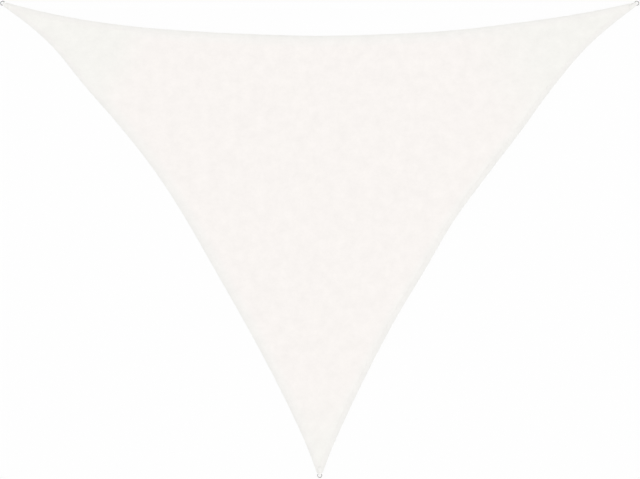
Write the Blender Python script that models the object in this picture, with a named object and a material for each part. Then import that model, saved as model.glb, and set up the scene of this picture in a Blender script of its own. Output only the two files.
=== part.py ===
"""Three-cornered shade sail, laid out flat with a D-ring at each corner.

Metres, +Z up. The sail lies on the plane z = 0, its long edge runs along X, and
its third corner points to -Y. The origin is the middle of the whole thing.
"""

import math

import bmesh
import bpy
import numpy as np
from mathutils import Matrix, Vector

# The sail's layout: where the eyes of its three rings lie, and which way each corner points.
RING_SPAN = 5.000  # between the two rings of the long edge
RING_DROP = 3.723  # from the long edge's rings to the third one
TOP_CORNER_ANGLE = math.radians(30)  # of the left and right corners' middle lines to the long edge

# The cloth: one sheet with its hem, which a sewn-down groove marks off from the field.
THICKNESS = 0.0024
HEM_WIDTH = 0.040  # from the folded edge to the groove
GROOVE_WIDTH = 0.006
GROOVE_DEPTH = 0.001
EDGE_ROUND = 0.0009  # rounding of the folded edge
TOP_CORNER_WIDTH = 0.034  # across the cut end of the left and right corners
TIP_CORNER_WIDTH = 0.042  # across the cut end of the third corner
CORNER_ROUND = 0.008  # rounding of the cut end's two corners
CORNER_ARC_STEPS = 3  # straight pieces in each of these roundings
CLOTH_TO_BAR = 0.008  # from the cut end to the ring's bar

# How far each edge is drawn in from the straight line between its ends, in millimetres,
# by the share of the way along it. The edges run anticlockwise, seen from above.
BOW_COLUMNS = ("share", "left", "right", "top")
BOW_ROWS = (
    (0.00, 0, 0, 0),
    (0.05, 79, 50, 54),
    (0.10, 137, 88, 99),
    (0.20, 183, 152, 169),
    (0.30, 238, 199, 224),
    (0.40, 267, 222, 251),
    (0.50, 257, 249, 263),
    (0.60, 225, 232, 251),
    (0.70, 192, 205, 227),
    (0.80, 149, 187, 187),
    (0.90, 90, 133, 115),
    (0.95, 52, 74, 63),
    (1.00, 0, 0, 0),
)
MIDDLE_X, MIDDLE_Y = 0.0, RING_DROP / 6  # a point inside, from which every edge is in plain view
EDGE_STEPS = 44  # straight pieces in each edge
CORNER_STEPS = 5  # of those, in the narrow stretch at each end that is hem all through
HEM_MEETING_GUESS = 0.03  # share of an edge at which its hem roughly meets the next one's
HEM_MEETING_ROUNDS = 30  # steps in which the exact place is found

# The D-ring: round bar, a straight side in the loop and a half circle facing out.
WIRE_RADIUS = 0.0025
RING_RADIUS = 0.016  # of the half circle, to the middle of the bar
RING_LEG = 0.009  # from the straight side to the half circle's centre
RING_BEND = 0.004  # of the two corners of the straight side
RING_ARC_STEPS = 24
RING_BEND_STEPS = 5
WIRE_RESOLUTION = 4  # which gives the round bar 12 sides

# The webbing loop: one strap round the ring's bar, its two tails one over the other on the cloth.
WEB_WIDTH = 0.024
WEB_THICKNESS = 0.0016
WEB_TAIL = 0.058  # from the ring's bar to the ends of the tails
WEB_SPLIT = 0.0004  # between the two tails
WEB_NECK_ANGLE = math.radians(60)  # where the strap leaves the bar, above and below the middle plane
WEB_TURN_STEPS = 16
WEB_TAIL_STEPS = 5
WEB_EASE = 1 / 3  # length of the bend at the tail, as a share of the stretch that comes down from the bar
# The bend's points. Columns: distance from its middle and height over the tail, as shares of its length.
WEB_BEND_ROWS = ((1.0, 0.0), (1 / 3, 0.04), (-1 / 3, 0.28))

CLEARANCE = 0.0003  # between pieces that touch

MIDDLE_HEIGHT = THICKNESS + CLEARANCE + WEB_THICKNESS + WEB_SPLIT / 2  # of the ring's bar

# Each corner: the middle of its ring's half circle, the way it points and the width of its cut end.
CORNERS = {
    "left": (Vector((-RING_SPAN / 2, RING_DROP / 2)), math.pi - TOP_CORNER_ANGLE, TOP_CORNER_WIDTH),
    "tip": (Vector((0.0, -RING_DROP / 2)), -math.pi / 2, TIP_CORNER_WIDTH),
    "right": (Vector((RING_SPAN / 2, RING_DROP / 2)), TOP_CORNER_ANGLE, TOP_CORNER_WIDTH),
}
# Each edge: the corners that it runs between, anticlockwise.
EDGES = {"left": ("left", "tip"), "right": ("tip", "right"), "top": ("right", "left")}


def clear_scene():
    """Remove every object of the scene."""
    for old in list(bpy.data.objects):
        bpy.data.objects.remove(old, do_unlink=True)


def material(name, colour, roughness, metallic):
    """A plain surface of one colour, roughness and metallic value."""
    made = bpy.data.materials.new(name)
    made.use_nodes = True
    shader = made.node_tree.nodes["Principled BSDF"]
    shader.inputs["Base Color"].default_value = (*colour, 1.0)
    shader.inputs["Roughness"].default_value = roughness
    shader.inputs["Metallic"].default_value = metallic
    return made


def add_object(name, mesh, surface):
    """Put a mesh in the scene as a named object with its surface."""
    mesh.materials.append(surface)
    made = bpy.data.objects.new(name, mesh)
    bpy.context.scene.collection.objects.link(made)
    return made


def corner_axes(corner):
    """The ring's eye, the outward direction and the direction to its left, in plan."""
    eye, angle, _ = CORNERS[corner]
    out = Vector((math.cos(angle), math.sin(angle)))
    return eye, out, Vector((-out.y, out.x))


def cut_end(corner):
    """The two ends of the corner's cut end, in anticlockwise order round the sail."""
    eye, out, aside = corner_axes(corner)
    middle = eye - out * (RING_LEG + CLOTH_TO_BAR)
    half = aside * CORNERS[corner][2] / 2
    return middle - half, middle + half


def drawn_in(edge, shares):
    """How far the edge lies inside its straight line, and the slope of that, at these shares.

    A cubic runs between each two rows of the table. Its slope at a row is that of the
    line between the rows on both sides, and at the first and last row that of the first
    and last stretch.
    """
    table = np.array(BOW_ROWS, dtype=float)
    at = table[:, 0]
    depth = table[:, BOW_COLUMNS.index(edge)] / 1000
    slopes = np.gradient(depth, at)
    cell = np.clip(np.searchsorted(at, shares, side="right") - 1, 0, len(at) - 2)
    width = at[cell + 1] - at[cell]
    t = (shares - at[cell]) / width
    before, after = depth[cell], depth[cell + 1]
    rise, fall = slopes[cell] * width, slopes[cell + 1] * width
    depths = (
        before * (2 * t**3 - 3 * t**2 + 1)
        + rise * (t**3 - 2 * t**2 + t)
        + after * (3 * t**2 - 2 * t**3)
        + fall * (t**3 - t**2)
    )
    per_share = (
        (after - before) * (6 * t - 6 * t**2) + rise * (3 * t**2 - 4 * t + 1) + fall * (3 * t**2 - 2 * t)
    ) / width
    return depths, per_share


def edge_points(edge, shares, inset=0.0):
    """Points of an edge's curve at these shares of its straight line, moved square into the sail."""
    first, last = EDGES[edge]
    start = np.array(cut_end(first)[1])
    chord = np.array(cut_end(last)[0]) - start
    length = np.hypot(*chord)
    along = chord / length
    inward = np.array((-along[1], along[0]))
    depth, slope = drawn_in(edge, np.asarray(shares, dtype=float))
    points = start + np.outer(shares, chord) + np.outer(depth, inward)
    tilt = slope / length
    normals = (inward - np.outer(tilt, along)) / np.sqrt(1 + tilt**2)[:, None]
    return points + inset * normals


def hem_meeting(before, after, inset):
    """Where the lines at this inset from two edges cross: the share along each of them.

    Newton's method on the gap between the two lines, from near the corner they share.
    """
    shares = np.array((1 - HEM_MEETING_GUESS, HEM_MEETING_GUESS))
    step = 1e-4

    def gap(pair):
        return (edge_points(before, pair[:1], inset) - edge_points(after, pair[1:], inset))[0]

    for _ in range(HEM_MEETING_ROUNDS):
        here = gap(shares)
        change = np.column_stack([(gap(shares + step * unit) - here) / step for unit in np.eye(2)])
        shares = shares - np.linalg.solve(change, here)
    return shares


def hem_ends():
    """For each edge, the shares at which its hem's band starts and ends, where it meets the others."""
    order = list(EDGES)
    ends = {edge: [0.0, 1.0] for edge in order}
    for before, after in zip(order, order[1:] + order[:1]):
        ends[before][1], ends[after][0] = hem_meeting(before, after, HEM_WIDTH)
    return ends


def rounded_end(corner):
    """The cut end of a corner as points, its own two corners rounded off."""
    first, last = cut_end(corner)
    run = (last - first).normalized()
    _, out, _ = corner_axes(corner)
    steps = np.linspace(0, math.pi / 2, CORNER_ARC_STEPS + 1)[1:]
    soft = CORNER_ROUND
    start = [first + run * soft * (1 - math.cos(a)) - out * soft * (1 - math.sin(a)) for a in steps]
    end = [last - run * soft * (1 - math.cos(a)) - out * soft * (1 - math.sin(a)) for a in steps]
    return start + end[::-1]


def outline():
    """The sail's outer line, and for each edge the index of its point where each hem end lies."""
    ends = hem_ends()
    points, marks = [], {}
    for edge, (first, last) in EDGES.items():
        low, high = ends[edge]
        length = (cut_end(last)[0] - cut_end(first)[1]).length
        skip = CORNER_ROUND / length
        if not skip < low < high < 1 - skip:
            raise ValueError(f"the {edge} edge's hem ends inside a rounded corner")
        shares = np.concatenate(
            [
                np.linspace(skip, low, CORNER_STEPS + 1)[:-1],
                np.linspace(low, high, EDGE_STEPS - 2 * CORNER_STEPS + 1),
                np.linspace(high, 1 - skip, CORNER_STEPS + 1)[1:],
            ]
        )
        marks[edge] = (len(points) + CORNER_STEPS, len(points) + EDGE_STEPS - CORNER_STEPS)
        points += [Vector(p) for p in edge_points(edge, shares)]
        points += rounded_end(last)
    return points, marks


def shrunk(points, inset):
    """A closed line moved inwards, each corner along the line that halves its angle."""
    count = len(points)
    moved = []
    for i, here in enumerate(points):
        before = (here - points[i - 1]).normalized()
        after = (points[(i + 1) % count] - here).normalized()
        inward = Vector((-before.y - after.y, before.x + after.x)).normalized()
        cosine = inward.dot(Vector((-after.y, after.x)))
        moved.append(here + inward * inset / cosine)
    return moved


def ring_of_vertices(bm, points, height):
    """One vertex for each point of a line, at this height."""
    return [bm.verts.new((p[0], p[1], height)) for p in points]


def bridge(bm, lower, upper):
    """Faces between two closed lines of as many vertices."""
    count = len(lower)
    for i in range(count):
        j = (i + 1) % count
        bm.faces.new((lower[i], lower[j], upper[j], upper[i]))


def fan(bm, line, hub):
    """Faces from one vertex to each piece of a line."""
    for before, after in zip(line, line[1:]):
        bm.faces.new((hub, before, after))


def close_with_fan(bm, line, height):
    """A flat face over a closed line, as a fan about a point in the sail's middle."""
    hub = bm.verts.new((MIDDLE_X, MIDDLE_Y, height))
    fan(bm, [*line, line[0]], hub)


def hem_top(bm, rim, marks, ends):
    """The hem's top: a band along each edge, and a plain patch at each corner.

    Returns the vertices of its inner line, one edge after another. Two edges share
    the vertex where their inner lines cross.
    """
    crossings, bands = {}, {}
    for edge, (first, last) in EDGES.items():
        low, high = ends[edge]
        count = marks[edge][1] - marks[edge][0]
        line = edge_points(edge, np.linspace(low, high, count + 1), HEM_WIDTH)
        for corner, point in ((first, line[0]), (last, line[-1])):
            if corner not in crossings:
                crossings[corner] = ring_of_vertices(bm, [point], THICKNESS)[0]
        middle = ring_of_vertices(bm, line[1:-1], THICKNESS)
        bands[edge] = [crossings[first], *middle, crossings[last]]
        outer = rim[marks[edge][0] : marks[edge][1] + 1]
        for i in range(count):
            bm.faces.new((outer[i], outer[i + 1], bands[edge][i + 1], bands[edge][i]))
    order = list(EDGES)
    for before, after in zip(order, order[1:] + order[:1]):
        first, last = marks[before][1], marks[after][0]
        patch = rim[first : last + 1] if first < last else rim[first:] + rim[: last + 1]
        fan(bm, patch, crossings[EDGES[before][1]])
    return [vertex for edge in order for vertex in bands[edge][:-1]]


def build_sail(surface):
    """The cloth with its hem: one closed sheet, flat underneath."""
    ends = hem_ends()
    points, marks = outline()
    inner = shrunk(points, EDGE_ROUND)
    bm = bmesh.new()
    under = ring_of_vertices(bm, inner, 0.0)
    low = ring_of_vertices(bm, points, EDGE_ROUND)
    high = ring_of_vertices(bm, points, THICKNESS - EDGE_ROUND)
    rim = ring_of_vertices(bm, inner, THICKNESS)
    band = hem_top(bm, rim, marks, ends)
    band_points = [vertex.co.xy for vertex in band]
    groove = ring_of_vertices(bm, shrunk(band_points, GROOVE_WIDTH / 2), THICKNESS - GROOVE_DEPTH)
    field = ring_of_vertices(bm, shrunk(band_points, GROOVE_WIDTH), THICKNESS)
    for lower, upper in ((under, low), (low, high), (high, rim), (band, groove), (groove, field)):
        bridge(bm, lower, upper)
    close_with_fan(bm, field, THICKNESS)
    close_with_fan(bm, under[::-1], 0.0)
    bmesh.ops.recalc_face_normals(bm, faces=bm.faces[:])
    mesh = bpy.data.meshes.new("sail")
    bm.to_mesh(mesh)
    bm.free()
    return add_object("sail", mesh, surface)


def d_line():
    """The middle line of a D-ring's bar, from the middle of its straight side, in its own plane.

    The straight side lies along X at y = 0, and the half circle faces +Y.
    """
    half, bend = RING_RADIUS, RING_BEND
    turn = np.linspace(0, math.pi / 2, RING_BEND_STEPS + 1)
    right = [(half - bend + bend * math.sin(a), bend - bend * math.cos(a)) for a in turn]
    sweep = np.linspace(0, math.pi, RING_ARC_STEPS + 1)
    arc = [(half * math.cos(a), RING_LEG + half * math.sin(a)) for a in sweep]
    left = [(-x, y) for x, y in reversed(right)]
    return [(0.0, 0.0), *right, *arc, *left]


def build_ring(corner, surface):
    """A D-ring with its straight side in the corner's loop and its half circle down on the ground."""
    curve = bpy.data.curves.new(f"ring_{corner}", "CURVE")
    curve.dimensions = "3D"
    curve.bevel_depth = WIRE_RADIUS
    curve.bevel_resolution = WIRE_RESOLUTION
    line = d_line()
    spline = curve.splines.new("POLY")
    spline.points.add(len(line) - 1)
    for point, (x, y) in zip(spline.points, line):
        point.co = (x, y, 0.0, 1.0)
    spline.use_cyclic_u = True
    ring = add_object(f"ring_{corner}", curve, surface)
    eye, out, _ = corner_axes(corner)
    droop = math.asin((MIDDLE_HEIGHT - WIRE_RADIUS) / (RING_LEG + RING_RADIUS))
    bar = eye - out * RING_LEG
    ring.location = (bar.x, bar.y, MIDDLE_HEIGHT)
    ring.rotation_euler = (-droop, 0.0, CORNERS[corner][1] - math.pi / 2)
    return ring


def strap_middle_line():
    """The middle of the strap's thickness, seen from the side: (distance from the bar, height).

    It runs from the end of the upper tail to the bar, round the outside of the bar and back
    along the lower tail. Heights are from the plane between the two tails.
    """
    radius = WIRE_RADIUS + CLEARANCE + WEB_THICKNESS / 2
    level = (WEB_SPLIT + WEB_THICKNESS) / 2
    neck = WEB_NECK_ANGLE
    leave = (radius * math.cos(neck), radius * math.sin(neck))
    fall = (leave[1] - level) * math.tan(neck)  # how far it runs while it comes down to the tail's level
    ease = fall * WEB_EASE
    knee = [(leave[0] + fall + run * ease, level + rise * ease) for run, rise in WEB_BEND_ROWS]
    tail = [(x, level) for x in np.linspace(WEB_TAIL, leave[0] + fall + 2 * ease, WEB_TAIL_STEPS + 1)]
    angles = np.linspace(neck, 2 * math.pi - neck, WEB_TURN_STEPS + 1)
    turn = [(radius * math.cos(a), radius * math.sin(a)) for a in angles]
    lower = [(x, -z) for x, z in reversed(tail + knee)]
    return np.array(tail + knee + turn + lower)


def strap_section():
    """The strap's closed outline, seen from the side: its middle line moved to both sides."""
    line = strap_middle_line()
    steps = np.diff(line, axis=0)
    steps /= np.hypot(steps[:, 0], steps[:, 1])[:, None]
    before = np.vstack([steps[:1], steps])
    after = np.vstack([steps, steps[-1:]])
    normals = np.column_stack([-(before + after)[:, 1], (before + after)[:, 0]])
    normals /= np.hypot(normals[:, 0], normals[:, 1])[:, None]
    square = np.column_stack([-after[:, 1], after[:, 0]])
    reach = WEB_THICKNESS / 2 / (normals * square).sum(axis=1)
    shift = normals * reach[:, None]
    return np.vstack([line + shift, (line - shift)[::-1]])


def build_loop(corner, surface):
    """The webbing loop of a corner: the strap's outline carried across its width."""
    section = strap_section()
    bm = bmesh.new()
    sides = [
        [bm.verts.new((x, -distance, z)) for distance, z in section]
        for x in (-WEB_WIDTH / 2, WEB_WIDTH / 2)
    ]
    bridge(bm, sides[0], sides[1])
    count = len(section)
    half = count // 2
    for side in sides:
        for i in range(half - 1):
            bm.faces.new((side[i], side[i + 1], side[count - 2 - i], side[count - 1 - i]))
    bmesh.ops.recalc_face_normals(bm, faces=bm.faces[:])
    eye, out, _ = corner_axes(corner)
    bar = eye - out * RING_LEG
    turn = Matrix.Rotation(CORNERS[corner][1] - math.pi / 2, 4, "Z")
    bm.transform(Matrix.Translation((bar.x, bar.y, MIDDLE_HEIGHT)) @ turn)
    mesh = bpy.data.meshes.new(f"loop_{corner}")
    bm.to_mesh(mesh)
    bm.free()
    return add_object(f"loop_{corner}", mesh, surface)


def main():
    """Build the sheet, then the loop and the ring of each corner."""
    clear_scene()
    cloth = material("knitted_cloth", (0.87, 0.84, 0.81), 0.82, 0.0)
    webbing = material("webbing", (0.85, 0.84, 0.81), 0.7, 0.0)
    steel = material("stainless_steel", (0.42, 0.42, 0.41), 0.33, 1.0)
    build_sail(cloth)
    for corner in CORNERS:
        build_loop(corner, webbing)
        build_ring(corner, steel)


main()
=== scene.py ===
"""Three-cornered shade sail of knitted cloth, laid out flat, with a steel D-ring at each corner.

Metres, +Z up. The sail lies on the floor at z = 0, its long edge runs along X, and its third
corner points to -Y. The origin is the middle of the whole sail.
"""

import logging
import math
from dataclasses import dataclass
from enum import Enum
from functools import partial
from typing import Any, ClassVar

import bpy
import numpy as np
from numpy.typing import NDArray
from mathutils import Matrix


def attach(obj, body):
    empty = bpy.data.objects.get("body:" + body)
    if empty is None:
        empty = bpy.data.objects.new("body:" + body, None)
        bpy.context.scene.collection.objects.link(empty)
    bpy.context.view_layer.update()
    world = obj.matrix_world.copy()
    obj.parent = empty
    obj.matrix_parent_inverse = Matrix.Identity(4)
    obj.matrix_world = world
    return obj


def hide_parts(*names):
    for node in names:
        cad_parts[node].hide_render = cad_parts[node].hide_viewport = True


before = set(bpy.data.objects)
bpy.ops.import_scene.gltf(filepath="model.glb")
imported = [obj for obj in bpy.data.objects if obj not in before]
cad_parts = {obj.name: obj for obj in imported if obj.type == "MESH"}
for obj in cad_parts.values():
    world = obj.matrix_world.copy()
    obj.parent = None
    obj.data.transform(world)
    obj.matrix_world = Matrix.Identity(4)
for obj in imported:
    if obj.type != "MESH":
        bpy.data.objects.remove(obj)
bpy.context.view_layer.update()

Array = NDArray[np.float64]
Faces = NDArray[np.int64]
Span = tuple[float, float]
Sockets = dict[str, Any]

MM = 0.001
UP = np.array((0.0, 0.0, 1.0))
LOG = logging.getLogger("shade_sail")


# ----------------------------------------
# The sail's plan
# ----------------------------------------


class Corner(Enum):
    """A corner of the sail."""

    LEFT = "left"
    TIP = "tip"
    RIGHT = "right"


class Edge(Enum):
    """An edge of the sail, going anticlockwise."""

    LEFT = (1, Corner.LEFT, Corner.TIP)
    RIGHT = (2, Corner.TIP, Corner.RIGHT)
    TOP = (3, Corner.RIGHT, Corner.LEFT)

    def __init__(self, column: int, start: Corner, end: Corner) -> None:
        """Keep the edge's column in the bow table, and the corners it runs between."""
        self.column, self.start, self.end = column, start, end


class Side(Enum):
    """A face of the cloth, and whether it looks up or down."""

    TOP = 1
    UNDER = -1


# How far each edge is drawn in from the straight line between its ends, in millimetres,
# by the share of the way along it. The edges run anticlockwise, seen from above.
# Columns: share, left edge, right edge, top edge.
BOW_ROWS = (
    (0.00, 0, 0, 0),
    (0.05, 79, 50, 54),
    (0.10, 137, 88, 99),
    (0.20, 183, 152, 169),
    (0.30, 238, 199, 224),
    (0.40, 267, 222, 251),
    (0.50, 257, 249, 263),
    (0.60, 225, 232, 251),
    (0.70, 192, 205, 227),
    (0.80, 149, 187, 187),
    (0.90, 90, 133, 115),
    (0.95, 52, 74, 63),
    (1.00, 0, 0, 0),
)


@dataclass(frozen=True)
class CornerPlan:
    """One corner in plan: its ring's eye, the way it points and its cut end."""

    eye: tuple[float, float]
    angle: float
    width: float
    eye_to_end: float

    @property
    def out(self) -> Array:
        """The direction in which the corner points."""
        return np.array((math.cos(self.angle), math.sin(self.angle)))

    @property
    def aside(self) -> Array:
        """The direction to the left of the one in which the corner points."""
        return np.array((-math.sin(self.angle), math.cos(self.angle)))

    @property
    def middle(self) -> Array:
        """The middle of the cut end."""
        return np.array(self.eye) - self.out * self.eye_to_end

    def cut_end(self) -> tuple[Array, Array]:
        """The two ends of the cut end, anticlockwise round the sail."""
        half = self.aside * self.width / 2
        return self.middle - half, self.middle + half


@dataclass(frozen=True)
class SailPlan:
    """The sail's outline: three edges that bow inwards between three short cut ends."""

    ring_span: float = 5.000
    ring_drop: float = 3.723
    top_corner_angle: float = math.radians(30)
    top_corner_width: float = 0.034
    tip_corner_width: float = 0.042
    corner_round: float = 0.008
    eye_to_end: float = 0.017
    # The points of the outline: along each edge, in each round corner and along each cut end.
    edge_points_count: int = 436
    arc_points: int = 5
    cut_points: int = 2

    @property
    def hub(self) -> Array:
        """A point inside, from which every edge is in plain view."""
        return np.array((0.0, self.ring_drop / 6))

    def corner(self, corner: Corner) -> CornerPlan:
        """The plan of one corner.

        Args:
            corner: which corner.

        Returns:
            Its eye, direction and cut end.
        """
        half, rise = self.ring_span / 2, self.ring_drop / 2
        wide, tip = self.top_corner_width, self.tip_corner_width
        table = {
            Corner.LEFT: ((-half, rise), math.pi - self.top_corner_angle, wide),
            Corner.TIP: ((0.0, -rise), -math.pi / 2, tip),
            Corner.RIGHT: ((half, rise), self.top_corner_angle, wide),
        }
        return CornerPlan(*table[corner], self.eye_to_end)

    def chord(self, edge: Edge) -> tuple[Array, Array, Array, float]:
        """The straight line between an edge's ends.

        Args:
            edge: which edge.

        Returns:
            Its start, its direction, the direction square into the sail, and its length.
        """
        start = self.corner(edge.start).cut_end()[1]
        run = self.corner(edge.end).cut_end()[0] - start
        length = float(np.hypot(*run))
        along = run / length
        return start, along, np.array((-along[1], along[0])), length

    def drawn_in(self, edge: Edge, shares: Array) -> tuple[Array, Array]:
        """How far the edge lies inside its chord.

        A cubic runs between each two rows of the table, with the slope at a row taken from
        the rows on both sides. Past the ends the curve goes straight on.

        Args:
            edge: which edge.
            shares: shares of the way along the chord, of any shape.

        Returns:
            The depths in metres, and their slopes per share.
        """
        table = np.array(BOW_ROWS)
        at, depth = table[:, 0], table[:, edge.column] * MM
        slopes = np.gradient(depth, at)
        inner = np.clip(shares, 0.0, 1.0)
        cell = np.clip(np.searchsorted(at, inner, side="right") - 1, 0, len(at) - 2)
        width = at[cell + 1] - at[cell]
        t = (inner - at[cell]) / width
        low, high = depth[cell], depth[cell + 1]
        rise, fall = slopes[cell] * width, slopes[cell + 1] * width
        depths = low * (2 * t**3 - 3 * t**2 + 1) + rise * (t**3 - 2 * t**2 + t)
        depths = depths + high * (3 * t**2 - 2 * t**3) + fall * (t**3 - t**2)
        lean = (high - low) * (6 * t - 6 * t**2)
        lean = (lean + rise * (3 * t**2 - 4 * t + 1) + fall * (3 * t**2 - 2 * t)) / width
        return depths + lean * (shares - inner), lean

    def edge_points(self, edge: Edge, shares: Array, inset: float = 0.0) -> Array:
        """Points of an edge's curve, moved square into the sail.

        Each point is the chord's point plus the depth there, plus the inset along the
        curve's own normal.

        Args:
            edge: which edge.
            shares: shares of the way along the chord.
            inset: distance from the edge, in metres.

        Returns:
            The points, one row each.
        """
        start, along, inward, length = self.chord(edge)
        depth, slope = self.drawn_in(edge, shares)
        tilt = slope / length
        normals = (inward - np.outer(tilt, along)) / np.sqrt(1 + tilt**2)[:, None]
        return start + np.outer(shares * length, along) + np.outer(depth, inward) + inset * normals

    def insets(self, points: Array) -> tuple[Array, Array, Array]:
        """How far points lie inside the nearest and the next nearest edge.

        The distance from an edge is the depth below its curve, times the curve's cosine.

        Args:
            points: points in plan, the last axis being x and y.

        Returns:
            Both distances, and the distance along the nearest edge's chord.
        """
        across, runs = [], []
        for edge in Edge:
            start, along, inward, length = self.chord(edge)
            run = (points - start) @ along
            depth, slope = self.drawn_in(edge, run / length)
            across.append(((points - start) @ inward - depth) / np.sqrt(1 + (slope / length) ** 2))
            runs.append(run)
        order = np.argsort(across, axis=0)
        nearest, following, _ = np.take_along_axis(np.stack(across), order, axis=0)
        return nearest, following, np.take_along_axis(np.stack(runs), order, axis=0)[0]

    def rim_inset(self, points: Array) -> Array:
        """How far points lie inside the whole outline, its cut ends and round corners included.

        Near a cut end it is the corner's radius less the distance from the rounding's centre,
        and elsewhere the smaller of the distances from the edges and from the cut ends.

        Args:
            points: points in plan, the last axis being x and y.

        Returns:
            The distances.
        """
        side = self.insets(points)[0]
        rim, soft = side, self.corner_round
        for corner in Corner:
            plan = self.corner(corner)
            end = (plan.middle - points) @ plan.out
            near = np.minimum(side, end)
            corner_gap = np.hypot(np.maximum(soft - side, 0), np.maximum(soft - end, 0))
            rim = np.minimum(rim, np.where(near < soft, soft - corner_gap, near))
        return rim

    def rounded_end(self, corner: Corner) -> Array:
        """The cut end of a corner, its own two corners rounded off by a quarter turn each.

        Args:
            corner: which corner.

        Returns:
            The points, anticlockwise round the sail.
        """
        plan = self.corner(corner)
        first, last = plan.cut_end()
        turn = np.linspace(0, math.pi / 2, self.arc_points + 1)[1:]
        over = np.outer(self.corner_round * (1 - np.cos(turn)), plan.aside)
        back = np.outer(self.corner_round * (1 - np.sin(turn)), plan.out)
        start, end = first + over - back, (last - over - back)[::-1]
        shares = np.linspace(0, 1, self.cut_points + 2)[1:-1, None]
        return np.vstack([start, start[-1] + shares * (end[0] - start[-1]), end])

    def rim(self) -> Array:
        """The whole outline, anticlockwise from the left corner.

        Returns:
            The points.
        """
        parts = []
        for edge in Edge:
            skip = self.corner_round / self.chord(edge)[3]
            parts.append(self.edge_points(edge, np.linspace(skip, 1 - skip, self.edge_points_count)))
            parts.append(self.rounded_end(edge.end))
        return np.vstack(parts)

    def from_ring(self, corner: Corner, points: Array) -> tuple[Array, Array]:
        """Where points lie as seen from the eye of a corner's ring.

        Args:
            corner: which corner.
            points: points in plan, the last axis being x and y.

        Returns:
            Their distances from the eye, and their angles to the corner's middle line.
        """
        plan = self.corner(corner)
        away = points - np.array(plan.eye)
        return np.hypot(away[..., 0], away[..., 1]), np.arctan2(away @ plan.aside, -(away @ plan.out))


# ----------------------------------------
# Making meshes
# ----------------------------------------


def smooth(span: Span, value: Array) -> Array:
    """An even S-curve from 0 at the span's start to 1 at its end: 3t^2 - 2t^3."""
    t = np.clip((value - span[0]) / (span[1] - span[0]), 0.0, 1.0)
    return t * t * (3 - 2 * t)


def unit(vectors: Array) -> Array:
    """The vectors at length 1."""
    return vectors / np.linalg.norm(vectors, axis=-1, keepdims=True)


def distance_along(line: Array) -> Array:
    """How far each point of a line lies along it: the running sum of its steps."""
    return np.concatenate([[0.0], np.cumsum(np.linalg.norm(np.diff(line, axis=0), axis=1))])


def in_scene(name: str, data: bpy.types.ID) -> bpy.types.Object:
    """A new object at the origin that shows this data, linked into the scene.

    Args:
        name: the object's name.
        data: its mesh, lamp or camera.

    Returns:
        The object.
    """
    piece = bpy.data.objects.new(name, data)
    bpy.context.scene.collection.objects.link(piece)
    return piece


def mesh_object(
    name: str,
    vertices: Array,
    faces: list[Faces],
    surface: bpy.types.Material,
    uv: tuple[str, Array] | None = None,
    measures: dict[str, Array] | None = None,
) -> bpy.types.Object:
    """Put a mesh in the scene as one smooth object at the origin.

    Args:
        name: the object's name.
        vertices: the points, one row each.
        faces: blocks of faces, each block with its own number of sides.
        surface: the material.
        uv: the name of the UV map, and one coordinate pair for each face corner in order.
        measures: values for each vertex, by the attribute's name.

    Returns:
        The object.
    """
    corners = np.concatenate([block.ravel() for block in faces]).astype(np.int32)
    sizes = np.concatenate([np.full(len(block), block.shape[1]) for block in faces])
    starts = np.concatenate([[0], np.cumsum(sizes)[:-1]]).astype(np.int32)
    mesh = bpy.data.meshes.new(name)
    mesh.vertices.add(len(vertices))
    mesh.vertices.foreach_set("co", np.asarray(vertices, dtype=np.float32).ravel())
    mesh.loops.add(len(corners))
    mesh.loops.foreach_set("vertex_index", corners)
    mesh.polygons.add(len(sizes))
    mesh.polygons.foreach_set("loop_start", starts)
    mesh.update(calc_edges=True)
    mesh.validate()
    mesh.shade_smooth()
    if uv:
        layer = mesh.uv_layers.new(name=uv[0])
        layer.data.foreach_set("uv", np.asarray(uv[1], dtype=np.float32).ravel())
    for label, values in (measures or {}).items():
        made = mesh.attributes.new(label, "FLOAT", "POINT")
        made.data.foreach_set("value", np.asarray(values, dtype=np.float32))
    mesh.materials.append(surface)
    return in_scene(name, mesh)


def strip(outer: int, inner: int, count: int, onward: int) -> Faces:
    """Faces between two closed rings of vertices.

    Rings of as many vertices are joined by quads. Where the inner ring has half as many, each
    of its vertices takes two of the outer ring's, by three triangles.

    Args:
        outer: the first vertex of the outer ring.
        inner: the first vertex of the inner ring.
        count: how many vertices the outer ring has.
        onward: how many vertices the inner ring has.

    Returns:
        The faces, turned so that they face up when the rings run anticlockwise.
    """
    here = np.arange(onward)
    beyond = (here + 1) % onward
    if onward == count:
        return np.column_stack([outer + here, outer + beyond, inner + beyond, inner + here])
    even, odd, later = outer + 2 * here, outer + 2 * here + 1, outer + (2 * here + 2) % count
    here, beyond = inner + here, inner + beyond
    triangles = ((even, odd, here), (odd, later, beyond), (odd, beyond, here))
    return np.vstack([np.column_stack(points) for points in triangles])


def carried(
    path: Array, across: Array, up: Array, profile: Array, closed: bool
) -> tuple[Array, list[Faces]]:
    """A profile carried along a path: each point is the path's, plus a share of both axes.

    Args:
        path: the points of the path.
        across: the direction of the profile's first axis at each of them.
        up: the direction of its second axis at each of them.
        profile: the profile's closed outline, for all of the path or for each of its points.
        closed: whether the path runs back to its start. If not, flat faces close its ends.

    Returns:
        The vertices, and the faces, facing out when across, up and the path are right-handed.
    """
    outline = np.broadcast_to(profile, (len(path), *profile.shape[-2:]))
    grid = path[:, None] + outline[..., :1] * across[:, None] + outline[..., 1:] * up[:, None]
    index = np.arange(grid.shape[0] * grid.shape[1]).reshape(grid.shape[:2])
    low = index if closed else index[:-1]
    high = np.roll(index, -1, axis=0) if closed else index[1:]
    around = [np.roll(one, -1, axis=1) for one in (low, high)]
    faces = [np.stack([low, around[0], around[1], high], axis=-1).reshape(-1, 4)]
    if not closed:
        faces += [index[:1, ::-1], index[-1:]]
    return grid.reshape(-1, 3), faces


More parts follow.
